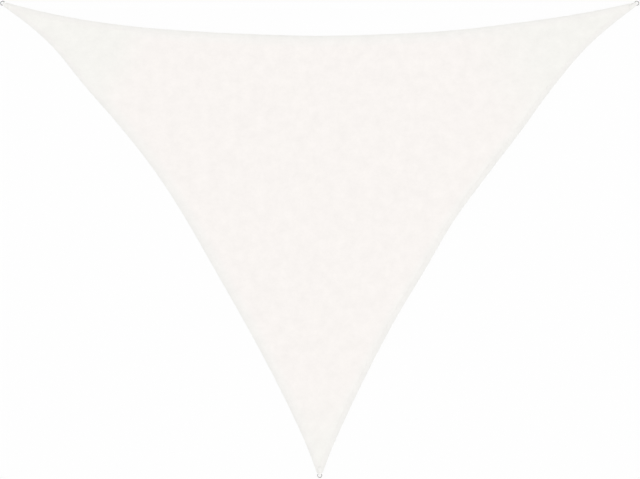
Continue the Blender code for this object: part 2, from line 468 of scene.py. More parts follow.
@dataclass(frozen=True)
class Stitch:
    """One visible stitch of thread: a short bar that dips into the cloth at both ends."""

    pitch: float = 0.0050
    length: float = 0.0042
    radius: float = 0.00038
    arch: float = 0.00018
    dip: float = 0.00050
    sides: int = 5
    # Where its full rings lie, as shares of its half length from its middle.
    rings: tuple[float, ...] = (-0.72, 0.0, 0.72)

    def sew(
        self, name: str, surface: bpy.types.Material, places: Array, along: Array, up: Array
    ) -> bpy.types.Object:
        """Make a piece of thread: a bar at each of many places at once.

        Along each bar its height follows arch - (arch + dip) * s^4, s running from -1 to 1,
        and its radius is full on the rings and nothing at the two tips.

        Args:
            name: the piece's name.
            surface: the thread's material.
            places: the middles of the stitches.
            along: their directions.
            up: the way each one faces.

        Returns:
            The piece.
        """
        at = np.array(self.rings)
        turn = np.arange(self.sides) * 2 * math.pi / self.sides
        tall = self.arch - (self.arch + self.dip) * at**4
        ring = np.cos(turn)[:, None, None] * np.cross(up, along) + np.sin(turn)[:, None, None] * up
        half = self.length / 2
        body = [places + s * half * along + h * up + self.radius * ring for s, h in zip(at, tall)]
        tips = [places + s * half * along - self.dip * up for s in (-1.0, 1.0)]
        grid = np.concatenate([*body, np.stack(tips)])
        bars = self.one_bar() + (np.arange(len(places)) * len(grid))[:, None, None]
        return mesh_object(name, grid.transpose(1, 0, 2).reshape(-1, 3), [bars.reshape(-1, 3)], surface)

    def one_bar(self) -> Faces:
        """The faces of one bar: two for each step round it between rings, and a fan at each tip.

        Returns:
            The triangles, facing out.
        """
        here = np.arange(self.sides)
        beyond = (here + 1) % self.sides
        last_ring = (len(self.rings) - 1) * self.sides
        first_tip = last_ring + self.sides
        parts = []
        for low in range(0, last_ring, self.sides):
            high = low + self.sides
            parts.append((low + here, low + beyond, high + beyond))
            parts.append((low + here, high + beyond, high + here))
        parts.append((here, np.full_like(here, first_tip), beyond))
        parts.append((last_ring + here, last_ring + beyond, np.full_like(here, first_tip + 1)))
        return np.vstack([np.column_stack(part) for part in parts])


def spaced(line: Array, pitch: float) -> tuple[Array, Array]:
    """Places at an even pitch along a line.

    Args:
        line: the line's points.
        pitch: the distance wanted from one place to the next.

    Returns:
        The places, half a pitch in from both ends, and the line's direction at each.
    """
    run = distance_along(line)
    count = max(2, round(run[-1] / pitch))
    at = (np.arange(count) + 0.5) * run[-1] / count
    reach = run[-1] / count / 4
    places, ahead = (
        np.column_stack([np.interp(spots, run, axis) for axis in line.T]) for spots in (at, at + reach)
    )
    return places, unit(ahead - places)


# ----------------------------------------
# Finishes
# ----------------------------------------


def linear(hex_colour: str) -> tuple[float, float, float, float]:
    """An sRGB hex colour as linear values: v / 12.92 if dark, else ((v + 0.055) / 1.055)^2.4.

    Args:
        hex_colour: the colour, as in "#F0ECE9".

    Returns:
        The values that a shader takes: red, green, blue and 1.
    """
    values = np.array([int(hex_colour[i : i + 2], 16) for i in (1, 3, 5)]) / 255
    made = np.where(values <= 0.04045, values / 12.92, ((values + 0.055) / 1.055) ** 2.4)
    return (*map(float, made), 1.0)


def fill(node: bpy.types.Node, inputs: dict[Any, Any]) -> None:
    """Give a node its inputs.

    Args:
        node: the node.
        inputs: for each input by name or number, a value, a socket to link, or a node whose
            first output is linked.
    """
    for key, value in inputs.items():
        if isinstance(value, bpy.types.Node):
            value = value.outputs[0]
        if isinstance(value, bpy.types.NodeSocket):
            node.id_data.links.new(value, node.inputs[key])
        else:
            node.inputs[key].default_value = value


def add_node(
    tree: bpy.types.NodeTree, kind: str, inputs: dict[Any, Any] | None = None, **settings: Any
) -> bpy.types.Node:
    """Add a node with its settings, values and links.

    Args:
        tree: the node tree.
        kind: the node's type, without the word ShaderNode.
        inputs: its inputs, as fill takes them.
        settings: the node's own properties.

    Returns:
        The node.
    """
    node = tree.nodes.new(f"ShaderNode{kind}")
    for name, value in settings.items():
        setattr(node, name, value)
    fill(node, inputs or {})
    return node


class Finish:
    """What all finishes share: a name, and how strong and how deep their relief is."""

    name: ClassVar[str]
    relief: ClassVar[Span] = (0.0, 0.0)

    def sockets(self, tree: bpy.types.NodeTree) -> Sockets:
        """Work out what the shader gets. Each finish has its own.

        Args:
            tree: the material's node tree.

        Returns:
            Values and patterns by the shader's socket, and the relief under the name Height.
        """
        raise NotImplementedError

    def material(self) -> bpy.types.Material:
        """Build the material.

        Returns:
            The material.
        """
        made = bpy.data.materials.new(self.name)
        made.use_nodes = True
        tree = made.node_tree
        sockets = self.sockets(tree)
        if "Height" in sockets:
            strength, depth = self.relief
            height = {"Height": sockets.pop("Height"), "Strength": strength, "Distance": depth}
            sockets["Normal"] = add_node(tree, "Bump", height)
        fill(tree.nodes["Principled BSDF"], sockets)
        return made


@dataclass(frozen=True)
class KnittedCloth(Finish):
    """Knitted high-density polyethylene, heat-set and left matt.

    The eye gets an off-white that is never quite even: the loops of tape lie open or close
    in soft patches of about a hand's breadth, with finer ones in them. Where the cloth is
    turned over it is painted a little greyer, painted shade that is darkest on the rounded fold.
    """

    name: ClassVar[str] = "knitted_polyethylene"
    relief: ClassVar[Span] = (0.25, 0.3 * MM)
    body: str = "#F0ECE9"
    # beside_hem, hem and fold are painted shade that deepens towards the folded edge, darkest on the
    # fold.
    beside_hem: str = "#EEECE9"
    tight: str = "#EDECE8"
    hem: str = "#ECEAE7"
    fold: str = "#E9E8E5"
    # How far in from the folded edge the painted shade reaches before the cloth gets its full colour.
    edge_reach: float = 95 * MM
    # How much of the hem's tone the line takes on where two hems meet: painted shade along that groove.
    mitre_shade_share: float = 0.5
    # The tape's loops are 3.2 mm wide and 2.4 mm high. Their columns sway and are pinched.
    loop_width: float = 3.2 * MM
    loop_height: float = 2.4 * MM
    loop_sway: float = 1.1
    loop_pinch: float = 0.3
    # How far the colour swings with the loops: painted shade in the gaps between them, lighter on the
    # loops.
    loop_shade: float = 0.015
    # The loops are too fine for the picture, so their unevenness is drawn as blotches.
    blotch: float = 110 * MM
    unevenness: float = 0.14

    def sockets(self, tree: bpy.types.NodeTree) -> Sockets:
        """The colour by the attributes inset, mitre and tightness, times blotches and loops, with
        painted shade at the fold, over the hem, along the mitre and in the loops' gaps.

        Args:
            tree: the material's node tree.

        Returns:
            What the shader gets.
        """
        node = partial(add_node, tree)
        spot = node("TexCoord").outputs["Object"]
        inset, tightness, mitre = (
            node("Attribute", attribute_name=measure).outputs["Fac"]
            for measure in ("inset", "tightness", "mitre")
        )
        # From the folded edge inwards, painted shade: darkest on the fold, greyer over the hem, and
        # fading over the single cloth beside it.
        # Columns: share of the reach, colour.
        rows = (
            (0.0, self.fold),
            (0.11, self.fold),
            (0.28, self.hem),
            (0.46, self.beside_hem),
            (1.0, self.body),
        )
        ramp = node("ValToRGB", {0: node("MapRange", {0: inset, 1: 0.0, 2: self.edge_reach})})
        stops = ramp.color_ramp.elements
        while len(stops) < len(rows):
            stops.new(0.5)
        for stop, (at, colour) in zip(stops, rows):
            stop.position, stop.color = at, linear(colour)
        # Towards the corners the cloth, drawn tight, closes up and loses a little of its warmth; this
        # goes over the edge's painted shade.
        closed = {0: tightness, 6: ramp, 7: linear(self.tight)}
        shaded_edge_and_tight = node("Mix", closed, data_type="RGBA", blend_type="DARKEN")
        # Along the mitre groove where two hems meet, painted shade: the line takes on the hem's tone.
        shade = node("Math", {0: mitre, 1: self.mitre_shade_share}, operation="MULTIPLY")
        shaded_cloth = node("Mix", {0: shade, 6: shaded_edge_and_tight.outputs[2], 7: linear(self.hem)}, data_type="RGBA")
        # The blotches, and under them the single loops, brighten and darken the cloth; the loops are
        # darker in the gaps between them, painted shade.
        swing, tone = self.unevenness / 2, self.loop_shade
        grain = {"Vector": spot, "Scale": 1 / self.blotch, "Detail": 4.0, "Roughness": 0.8}
        blotches = node("TexNoise", grain)
        patchy = node("MapRange", {0: blotches, 1: 0.0, 2: 1.0, 3: 1 - swing, 4: 1 + swing})
        loops = self.loops(tree, spot)
        looped = node("MapRange", {0: loops, 1: -1.0, 2: 1.0, 3: 1 - tone, 4: 1 + tone})
        both = node("Math", {0: patchy, 1: looped}, operation="MULTIPLY")
        colour = node("VectorMath", {0: shaded_cloth.outputs[2], "Scale": both}, operation="SCALE")
        even = {"Roughness": 0.82, "IOR": 1.54, "Specular IOR Level": 0.2}
        return {"Base Color": colour, "Height": loops, **even}

    def loops(self, tree: bpy.types.NodeTree, spot: bpy.types.NodeSocket) -> bpy.types.Node:
        """The knit's loops, from -1 to 1.

        Columns of loops run along Y. Each is a sine across the cloth whose phase swings from
        row to row, as the tape does, and is then pinched by a sine along the cloth.

        Args:
            tree: the material's node tree.
            spot: the place on the cloth.

        Returns:
            The node that gives the height of the loops.
        """
        node = partial(add_node, tree)
        turns = (2 * math.pi / self.loop_width, 2 * math.pi / self.loop_height, 0.0)
        phase = node("SeparateXYZ", {0: node("VectorMath", {0: spot, 1: turns}, operation="MULTIPLY")})
        row = node("Math", {0: phase.outputs[1]}, operation="SINE")
        swung = node("Math", {0: row, 1: self.loop_sway, 2: phase}, operation="MULTIPLY_ADD")
        column = node("Math", {0: swung}, operation="SINE")
        pinch = node("Math", {0: row, 1: self.loop_pinch}, operation="MULTIPLY")
        return node("Math", {0: column, 1: 1 - self.loop_pinch, 2: pinch}, operation="MULTIPLY_ADD")


@dataclass(frozen=True)
class SewingThread(Finish):
    """Twisted polyester thread, bonded: a smooth, slightly shiny off-white line on the matt cloth."""

    name: ClassVar[str] = "bonded_polyester_thread"
    relief: ClassVar[Span] = (0.4, 0.1 * MM)
    light: str = "#F0EFEC"
    dark: str = "#E6E5E2"
    # The twist repeats every 1.1 mm.
    twist: float = 1.1 * MM

    def sockets(self, tree: bpy.types.NodeTree) -> Sockets:
        """The twist: a noise as fine as the plies, in the colour and in the relief.

        Args:
            tree: the material's node tree.

        Returns:
            What the shader gets.
        """
        spot = add_node(tree, "TexCoord").outputs["Object"]
        plies = add_node(tree, "TexNoise", {"Vector": spot, "Scale": 1 / self.twist, "Detail": 1.0})
        tones = {0: plies, 6: linear(self.dark), 7: linear(self.light)}
        mixed = add_node(tree, "Mix", tones, data_type="RGBA")
        even = {"Roughness": 0.5, "IOR": 1.58, "Sheen Weight": 0.1}
        return {"Base Color": mixed.outputs[2], "Height": plies, **even}


@dataclass(frozen=True)
class WovenWebbing(Finish):
    """Polyester webbing, woven: even rows of small raised ribs, matt with a faint sheen."""

    name: ClassVar[str] = "woven_polyester_webbing"
    relief: ClassVar[Span] = (0.6, 0.2 * MM)
    light: str = "#F3F2EF"
    dark: str = "#E8E7E4"
    # A weft rib every 1.3 mm along the strap, and a warp yarn every 1.0 mm across it.
    rib: float = 1.3 * MM
    yarn: float = 1.0 * MM

    def sockets(self, tree: bpy.types.NodeTree) -> Sockets:
        """The weave: a sine across the strap times a sine along it, by the UV map strap in metres.

        Args:
            tree: the material's node tree.

        Returns:
            What the shader gets.
        """
        node = partial(add_node, tree)
        turns = {0: node("UVMap", uv_map="strap"), 1: (math.pi / self.yarn, math.pi / self.rib, 0.0)}
        phase = node("VectorMath", turns, operation="MULTIPLY")
        waves = node("SeparateXYZ", {0: node("VectorMath", {0: phase}, operation="SINE")})
        woven = node("Math", {0: waves.outputs[0], 1: waves.outputs[1]}, operation="MULTIPLY")
        share = node("MapRange", {0: woven, 1: -1.0, 2: 1.0})
        mixed = node("Mix", {0: share, 6: linear(self.dark), 7: linear(self.light)}, data_type="RGBA")
        even = {"Roughness": 0.7, "IOR": 1.58, "Sheen Weight": 0.15}
        return {"Base Color": mixed.outputs[2], "Height": woven, **even}


@dataclass(frozen=True)
class SatinStainless(Finish):
    """Stainless steel bar, drawn, bent, welded and tumbled to a satin finish with fine long lines, its
    grey painted darker than bare steel, a painted reflection of dark surroundings.
    """

    name: ClassVar[str] = "satin_stainless_steel"
    relief: ClassVar[Span] = (0.3, 0.06 * MM)
    # Both greys are darker than bare stainless: a painted reflection of dark surroundings.
    light: str = "#A8A8A5"
    dark: str = "#90908D"
    # The drawing lines are 0.15 mm apart round the bar, too fine to show, so they are drawn coarser.
    line_gap: float = 0.4 * MM
    line_length: float = 12.0 * MM
    smoothest: float = 0.26
    roughest: float = 0.40

    def sockets(self, tree: bpy.types.NodeTree) -> Sockets:
        """The drawing lines: a noise drawn out along the bar, by the UV map bar in metres.

        Args:
            tree: the material's node tree.

        Returns:
            What the shader gets.
        """
        node = partial(add_node, tree)
        scale = {0: node("UVMap", uv_map="bar"), 1: (1 / self.line_gap, 1 / self.line_length, 0.0)}
        drawn = node("VectorMath", scale, operation="MULTIPLY")
        lines = node("TexNoise", {"Vector": drawn, "Scale": 1.0, "Detail": 2.0})
        mixed = node("Mix", {0: lines, 6: linear(self.dark), 7: linear(self.light)}, data_type="RGBA")
        rough = node("MapRange", {0: lines, 1: 0.25, 2: 0.75, 3: self.smoothest, 4: self.roughest})
        return {"Base Color": mixed.outputs[2], "Height": lines, "Roughness": rough, "Metallic": 1.0}


@dataclass(frozen=True)
class StudioPaper(Finish):
    """Matt white paper on a light table: lit from behind in part, so that shadows stay faint."""

    name: ClassVar[str] = "backlit_paper"
    colour: str = "#F4F4F4"
    # The share of its brightness that comes from behind, and how bright it is in all.
    from_behind: float = 0.6
    brightness: float = 0.995

    def sockets(self, tree: bpy.types.NodeTree) -> Sockets:
        """The paper's own white, less the share from behind, and a glow of that share.

        Args:
            tree: the material's node tree, which gets no pattern; not used.

        Returns:
            What the shader gets.
        """
        left = [(1 - self.from_behind) * value for value in linear(self.colour)[:3]]
        return {
            "Base Color": (*left, 1.0),
            "Emission Color": (1.0, 1.0, 1.0, 1.0),
            "Emission Strength": self.from_behind * self.brightness,
            "Roughness": 1.0,
            "Specular IOR Level": 0.0,
        }


# ----------------------------------------
# The sail's pieces
# ----------------------------------------

# The low waves of cloth that lies on a floor. Columns: length in metres, direction in degrees,
# phase in degrees, share of the height.
WAVE_ROWS = (
    (1.30, 18, 40, 0.30),
    (0.85, 97, 115, 0.22),
    (0.62, 151, 260, 0.18),
    (0.47, 62, 310, 0.13),
    (0.36, 124, 75, 0.10),
    (0.29, 8, 200, 0.07),
)

# The puckers that sewing leaves along a hem. Columns: length in metres, phase in degrees, share.
PUCKER_ROWS = ((0.083, 0, 0.40), (0.057, 130, 0.35), (0.131, 70, 0.25))

# Where the puckers stand, going in from the edge: between the seams, and beside the hem.
# Columns: where they grow, where they fade.
PUCKER_BANDS = (((0.005, 0.018), (0.026, 0.036)), ((0.040, 0.050), (0.055, 0.110)))

# How far from a corner's ring the cloth is stretched. Columns: corner, from wholly to not at all.
TIGHT_ROWS = ((Corner.LEFT, (0.90, 1.25)), (Corner.TIP, (0.00, 0.80)), (Corner.RIGHT, (0.70, 1.55)))

# How many of the field's vertices a ring of the open cloth keeps, from the hem to the middle.
# Columns: up to which share of the way, one vertex kept of how many.
THINNING_ROWS = ((0.62, 1), (0.80, 2), (0.93, 4), (1.00, 8))


@dataclass(frozen=True)
class SailSheet:
    """The cloth: one sheet whose edges are turned over into a hem and sewn down.

    Its top and underside are both functions of the place in plan. They are worked out on
    rings of points that run round the sail, from its folded edge in to its middle. A pair of
    distances from the edge or from a ring is the stretch over which something grows.
    """

    plan: SailPlan
    cloth: float = 0.0018
    hem: float = 0.0024
    hem_width: float = 0.040
    hem_step: float = 0.0012
    fold_round: float = 0.0011
    seams: tuple[float, ...] = (0.0050, 0.0350, 0.0385)
    seam_depth: float = 0.00035
    seam_half_width: float = 0.0010
    wave_height: float = 0.0028
    wave_from_edge: Span = (0.02, 0.30)
    wave_from_ring: Span = (0.25, 0.90)
    # The creases that fan out of a corner: their height, how many to a full turn, how far they
    # sway and how fast, and the distance over which they fade.
    crease_height: float = 0.0008
    crease_count: float = 26
    crease_sway: float = 0.6
    crease_sway_rate: float = 9
    crease_fade: float = 0.6
    crease_from_edge: Span = (0.030, 0.080)
    crease_from_ring: Span = (0.12, 0.35)
    pucker_height: float = 0.00045
    pucker_from_ring: Span = (0.12, 0.30)
    mitre_depth: float = 0.0003
    mitre_half_width: float = 0.003
    mitre_end: Span = (0.036, 0.041)
    # The rings of points: on both sides of each seam, on the hem and past it, and then, with
    # half the points and with a quarter of them, on the single cloth beside it.
    seam_rings: tuple[float, ...] = (-1.8 * MM, -0.9 * MM, 0.0, 0.9 * MM, 1.8 * MM)
    top_rings: tuple[float, ...] = (0.011, 0.018, 0.026, 0.044)
    under_rings: tuple[float, ...] = (0.018, 0.044)
    half_rings: tuple[float, ...] = (0.056, 0.076, 0.105)
    quarter_ring: float = 0.150
    # How near to each other the rings may lie, how many run on to the middle and how they draw
    # together there, and how often the stretch that holds a point is halved.
    least_gap: float = 0.0004
    field_rings: int = 26
    field_easing: float = 0.9
    halvings: int = 28
    fold_angles: tuple[float, ...] = (-90, -50, -15, 15, 50, 90)
    # The UV map: its empty margin, the height of the underside's strip and the foot of the top.
    map_margin: float = 0.005
    map_under: float = 0.225
    map_top: float = 0.245

    def clear_of_rings(self, span: Span, points: Array) -> Array:
        """A product of S-curves, each 0 near a corner's ring and 1 past the span."""
        reaches = [self.plan.from_ring(corner, points)[0] for corner in Corner]
        return np.prod([smooth(span, reach) for reach in reaches], axis=0)

    def under(self, points: Array) -> Array:
        """The height of the underside: low waves, and soft creases that run out of each corner.

        The waves are a sum of cosines, lifted so that it never falls under 0. They fade
        towards the edges and the corners. A corner's creases are a cosine of the angle
        seen from its ring, and fade with distance. Each seam pulls the cloth up a little.

        Args:
            points: points in plan, the last axis being x and y.

        Returns:
            The heights over the floor.
        """
        inset, _, _ = self.plan.insets(points)
        length, way, phase, share = np.array(WAVE_ROWS).T
        way, phase = np.radians(way), np.radians(phase)
        facing = points @ np.stack([np.cos(way), np.sin(way)])
        waves = 0.5 + 0.5 * (np.cos(2 * math.pi * facing / length + phase) @ share)
        calm = smooth(self.wave_from_edge, inset) * self.clear_of_rings(self.wave_from_ring, points)
        creases = np.zeros_like(inset)
        for corner in Corner:
            reach, angle = self.plan.from_ring(corner, points)
            sway = self.crease_sway * np.sin(reach * self.crease_sway_rate)
            fan = 0.5 + 0.5 * np.cos(angle * self.crease_count + sway)
            fade = np.exp(-((reach / self.crease_fade) ** 2))
            creases += fan * smooth(self.crease_from_ring, reach) * fade
        creases = creases * smooth(self.crease_from_edge, inset)
        return self.wave_height * waves * calm + self.crease_height * creases + self.pull(inset)

    def pull(self, inset: Array) -> Array:
        """How deep the seams draw the cloth in at this distance from the edge: one bell for each."""
        bells = [np.exp(-(((inset - seam) / self.seam_half_width) ** 2)) for seam in self.seams]
        return self.seam_depth * np.sum(bells, axis=0)

    def mitre(self, points: Array) -> Array:
        """How much a point lies on the line where two hems meet: a bell across it, inside the hems.

        Args:
            points: points in plan, the last axis being x and y.

        Returns:
            Values from 0 to 1.
        """
        first, second, _ = self.plan.insets(points)
        bell = np.exp(-(((second - first) / self.mitre_half_width) ** 2))
        return (1 - smooth(self.mitre_end, second)) * bell

    def tightness(self, points: Array) -> Array:
        """How far the pull of the nearest corner stretches the cloth.

        It is 1 near each corner and falls to 0 with the distance from its ring.

        Args:
            points: points in plan, the last axis being x and y.

        Returns:
            Values from 0 to 1.
        """
        reaches = [(span, self.plan.from_ring(corner, points)[0]) for corner, span in TIGHT_ROWS]
        return np.max([1 - smooth(span, reach) for span, reach in reaches], axis=0)

    def top(self, points: Array) -> Array:
        """The height of the top: the underside's, plus the cloth or hem, with its puckers.

        The hem ends in a short slope down to the single cloth. Puckers are a sum of cosines
        along the edge that is greatest between the seams. Each seam is a soft trough, and
        so is the mitre line at a corner.

        Args:
            points: points in plan, the last axis being x and y.

        Returns:
            The heights over the floor.
        """
        inset, _, run = self.plan.insets(points)
        turned = 1 - smooth((self.hem_width, self.hem_width + self.hem_step), inset)
        thick = self.cloth + (self.hem - self.cloth) * turned
        length, phase, share = np.array(PUCKER_ROWS).T
        pucker = np.cos(2 * math.pi * run[..., None] / length + np.radians(phase)) @ share
        bands = sum(smooth(grow, inset) * (1 - smooth(fade, inset)) for grow, fade in PUCKER_BANDS)
        calm = self.clear_of_rings(self.pucker_from_ring, points)
        ripple = self.pucker_height * pucker * bands * calm
        base = self.under(points) - self.pull(inset)
        return base + thick + ripple - self.pull(inset) - self.mitre_depth * self.mitre(points)

    def levels(self, rim: Array, insets: tuple[float, ...] | Array) -> list[Array]:
        """For each distance from the rim, the ring of points that lie that far inside.

        Each point is found on the straight line from its rim point to the hub, by halving
        the stretch that holds it.

        Args:
            rim: the outline's points.
            insets: the distances.

        Returns:
            The rings, one for each distance.
        """
        low = np.zeros((len(insets), len(rim)))
        high = np.ones_like(low)
        for _ in range(self.halvings):
            middle = (low + high) / 2
            found = self.plan.rim_inset(rim + middle[..., None] * (self.plan.hub - rim))
            short = found < np.array(insets)[:, None]
            low, high = np.where(short, middle, low), np.where(short, high, middle)
        return list(rim + low[..., None] * (self.plan.hub - rim))

    def rings(self, side: Side) -> list[Array]:
        """The rings of one side, from beside the fold to the middle, each thinned where it may be.

        Args:
            side: which face of the cloth.

        Returns:
            The rings in plan.
        """
        near = [seam + beside for seam in self.seams for beside in self.seam_rings]
        step = (self.hem_width, self.hem_width + self.hem_step)
        plain = self.under_rings if side is Side.UNDER else self.top_rings + step
        # To a hundredth of a millimetre, each distance once, and none too near the one before it.
        insets = np.unique(np.round([*near, *plain], 5))
        insets = insets[np.concatenate([[True], np.diff(insets) > self.least_gap])]
        rim, hub = self.plan.rim(), self.plan.hub
        inner = self.levels(rim[::4], (self.quarter_ring,))
        made = self.levels(rim, insets) + self.levels(rim[::2], self.half_rings) + inner
        for share in np.linspace(0, 1, self.field_rings + 1)[1:-1] ** self.field_easing:
            thin = inner[0][:: next(kept for limit, kept in THINNING_ROWS if share < limit)]
            made.append(thin + share * (hub - thin))
        return made

    def folded(self, rim: Array) -> tuple[Array, Array]:
        """The folded edge: a half round between the underside and the top.

        Each ring is the rim moved in along its own normal by r - r cos(a), at the height
        half + half sin(a), for an angle a from -90 to 90 degrees.

        Args:
            rim: the outline's points.

        Returns:
            The rings in plan, and their heights.
        """
        tangent = unit(np.roll(rim, -1, axis=0) - np.roll(rim, 1, axis=0))
        inward = np.column_stack([-tangent[:, 1], tangent[:, 0]])
        angles = np.radians(self.fold_angles)
        moved = rim + (self.fold_round * (1 - np.cos(angles)))[:, None, None] * inward
        half = self.hem / 2
        return moved, np.repeat(half + half * np.sin(angles), len(rim))

    def build(self, surface: bpy.types.Material) -> bpy.types.Object:
        """Build the sheet as one closed mesh.

        Args:
            surface: the cloth's material.

        Returns:
            The sheet.
        """
        fold, fold_heights = self.folded(self.plan.rim())
        below, above = self.rings(Side.UNDER)[::-1], self.rings(Side.TOP)
        rings, hub = [*below, *fold, *above], self.plan.hub[None]
        flat = np.vstack([*rings, hub, hub])
        counts = [len(ring) for ring in rings]
        starts = np.concatenate([[0], np.cumsum(counts)])
        fold_from, fold_to = starts[len(below)], starts[len(below) + len(fold)]
        under_hub, top_hub = starts[-1], starts[-1] + 1
        heights = [
            self.under(flat[:fold_from]),
            fold_heights,
            self.top(flat[fold_to:under_hub]),
            self.under(hub),
            self.top(hub),
        ]
        blocks = []
        for i, (count, onward) in enumerate(zip(counts, counts[1:])):
            if count >= onward:
                blocks.append(strip(starts[i], starts[i + 1], count, onward))
            else:
                blocks.append(strip(starts[i + 1], starts[i], onward, count)[:, ::-1])
        first, last = np.arange(counts[0]), starts[-2] + np.arange(counts[-1])
        blocks.append(np.column_stack([np.roll(first, -1), first, np.full_like(first, under_hub)]))
        blocks.append(np.column_stack([last, np.roll(last, -1), np.full_like(last, top_hub)]))
        faces = [np.vstack([block for block in blocks if block.shape[1] == sides]) for sides in (3, 4)]
        under = np.arange(len(flat)) < starts[len(below) + len(fold) // 2]
        under[under_hub] = True
        return mesh_object(
            "sail_sheet",
            np.column_stack([flat, np.concatenate(heights)]),
            faces,
            surface,
            uv=("OFBake", self.laid_out(flat, faces, under)),
            measures={
                "inset": self.plan.insets(flat)[0],
                "tightness": self.tightness(flat),
                "mitre": self.mitre(flat),
            },
        )

    def laid_out(self, flat: Array, faces: list[Faces], under: NDArray[np.bool_]) -> Array:
        """The UV map: the top over the upper three quarters, the underside pressed into the rest.

        Args:
            flat: the vertices in plan.
            faces: the blocks of faces.
            under: which vertices belong to the underside.

        Returns:
            One pair for each face corner.
        """
        low, high = flat.min(axis=0), flat.max(axis=0)
        share = (flat - low) / (high[0] - low[0])
        tall = (high[1] - low[1]) / (high[0] - low[0])
        width = 1 - 2 * self.map_margin
        pairs = []
        for block in faces:
            x, y = share[block][..., 0], share[block][..., 1]
            beneath = under[block].any(axis=1)[:, None]
            v = np.where(beneath, self.map_margin + self.map_under / tall * y, self.map_top + width * y)
            pairs.append(np.stack([self.map_margin + width * x, v], axis=-1).reshape(-1, 2))
        return np.vstack(pairs)


@dataclass(frozen=True)
class HemStitching:
    """The rows of stitches that hold the hem down, one piece of thread for each edge."""

    sheet: SailSheet
    stitch: Stitch = Stitch()
    # How far the thread's middle lies above the cloth's face. Underneath it is pulled in further.
    top_lift: float = 0.05 * MM
    under_lift: float = 0.24 * MM
    # The shares of an edge between which its rows are looked for, and the points of a row's line.
    line_ends: Span = (0.001, 0.999)
    line_points: int = 3000
    # How much nearer to the next edge or to a cut end than to its own edge a row may run.
    slack: float = 0.0012

    def line(self, edge: Edge, inset: float) -> Array:
        """The line of one row, without the stretch at each corner where the hems meet.

        Args:
            edge: which edge.
            inset: the row's distance from the fold.

        Returns:
            The line's points in plan.
        """
        plan = self.sheet.plan
        line = plan.edge_points(edge, np.linspace(*self.line_ends, self.line_points), inset)
        return line[plan.rim_inset(line) > inset - self.slack]

    def build(self, edge: Edge, surface: bpy.types.Material) -> bpy.types.Object:
        """Build the thread along one edge, on the top and on the underside.

        Args:
            edge: which edge.
            surface: the thread's material.

        Returns:
            The thread.
        """
        sheet = self.sheet
        sides = ((Side.TOP, sheet.top, self.top_lift), (Side.UNDER, sheet.under, self.under_lift))
        rows = []
        for inset in sheet.seams:
            flat, along = spaced(self.line(edge, inset), self.stitch.pitch)
            way = np.column_stack([along, np.zeros(len(flat))])
            for side, height, lift in sides:
                facing = np.broadcast_to(UP * side.value, way.shape)
                rows.append((np.column_stack([flat, height(flat) + lift]), way, facing))
        return self.stitch.sew(f"hem_thread_{edge.name.lower()}", surface, *map(np.vstack, zip(*rows)))


@dataclass(frozen=True)
class DRing:
    """A D-ring of round bar: a straight side in the loop, two legs, and a half circle facing out."""

    plan: SailPlan
    corner: Corner
    wire: float = 0.0025
    radius: float = 0.016
    leg: float = 0.009
    bend: float = 0.004
    bar_height: float = 0.0045
    weld_swell: float = 0.00018
    weld_half_width: float = 0.0016
    sides: int = 28
    # The points of its line: on half the straight side, in a bend, on a leg and in the half circle.
    steps: tuple[int, int, int, int] = (14, 13, 8, 81)

    def flat_line(self) -> Array:
        """The middle line of the bar in its own plane, from the middle of its straight side.

        It goes round anticlockwise: half the straight side, a quarter circle, a leg, the half
        circle, and back by the same stretches.

        Returns:
            The points, the straight side along X at y = 0 and the half circle facing +Y.
        """
        half, bend, leg = self.radius, self.bend, self.leg
        ends = ((0, half - bend), (0, math.pi / 2), (bend, leg), (0, math.pi))
        run, turn, rise, sweep = (np.linspace(*end, count) for end, count in zip(ends, self.steps))
        side = np.column_stack([run, np.zeros_like(run)])[:-1]
        corner = np.column_stack([half - bend + bend * np.sin(turn), bend - bend * np.cos(turn)])[:-1]
        upright = np.column_stack([np.full_like(rise, half), rise])[:-1]
        right = np.vstack([side, corner, upright])
        arc = np.column_stack([half * np.cos(sweep), leg + half * np.sin(sweep)])
        return np.vstack([right, arc, right[:0:-1] * (-1, 1)])

    def axes(self) -> tuple[Array, Array, Array, Array]:
        """Where the bar's middle lies, and the ring's own three directions.

        Its half circle droops to the floor, by the angle whose sine is the bar's height over
        the floor, less the wire's radius, by the ring's length.

        Returns:
            The middle of the bar, the ring's sideways, outward and upward directions.
        """
        plan = self.plan.corner(self.corner)
        droop = math.asin((self.bar_height - self.wire) / (self.leg + self.radius))
        out = np.array((*plan.out, 0.0))
        sideways = np.array((plan.out[1], -plan.out[0], 0.0))
        middle = np.array((*(np.array(plan.eye) - plan.out * self.leg), self.bar_height))
        cosine, sine = math.cos(droop), math.sin(droop)
        return middle, sideways, out * cosine - UP * sine, out * sine + UP * cosine

    def build(self, surface: bpy.types.Material) -> bpy.types.Object:
        """Build the ring as a round profile carried along its line, swollen at the weld.

        Args:
            surface: the steel's material.

        Returns:
            The ring, with its UV map in metres round and along the bar.
        """
        middle, sideways, out, up = self.axes()
        line = self.flat_line()
        path = middle + np.outer(line[:, 0], sideways) + np.outer(line[:, 1], out)
        tangent = unit(np.roll(line, -1, axis=0) - np.roll(line, 1, axis=0))
        aside = np.outer(tangent[:, 1], sideways) - np.outer(tangent[:, 0], out)
        turn = np.arange(self.sides) * 2 * math.pi / self.sides
        # A bell over the middle of the straight side. The half circle opposite has no weld.
        weld = np.exp(-((line[:, 0] / self.weld_half_width) ** 2)) * (line[:, 1] < self.bend / 4)
        circle = np.stack([np.cos(turn), np.sin(turn)], axis=-1)
        profile = (self.wire + self.weld_swell * weld)[:, None, None] * circle
        vertices, faces = carried(path, aside, -np.broadcast_to(up, path.shape), profile, closed=True)
        run = distance_along(np.vstack([line, line[:1]]))
        side, row = np.meshgrid(np.arange(self.sides), np.arange(len(line)))
        u = (side[..., None] + (0, 1, 1, 0)) * (2 * math.pi * self.wire / self.sides)
        pairs = np.stack([u, run[row[..., None] + (0, 0, 1, 1)]], axis=-1).reshape(-1, 2)
        return mesh_object(f"d_ring_{self.corner.value}", vertices, faces, surface, uv=("bar", pairs))


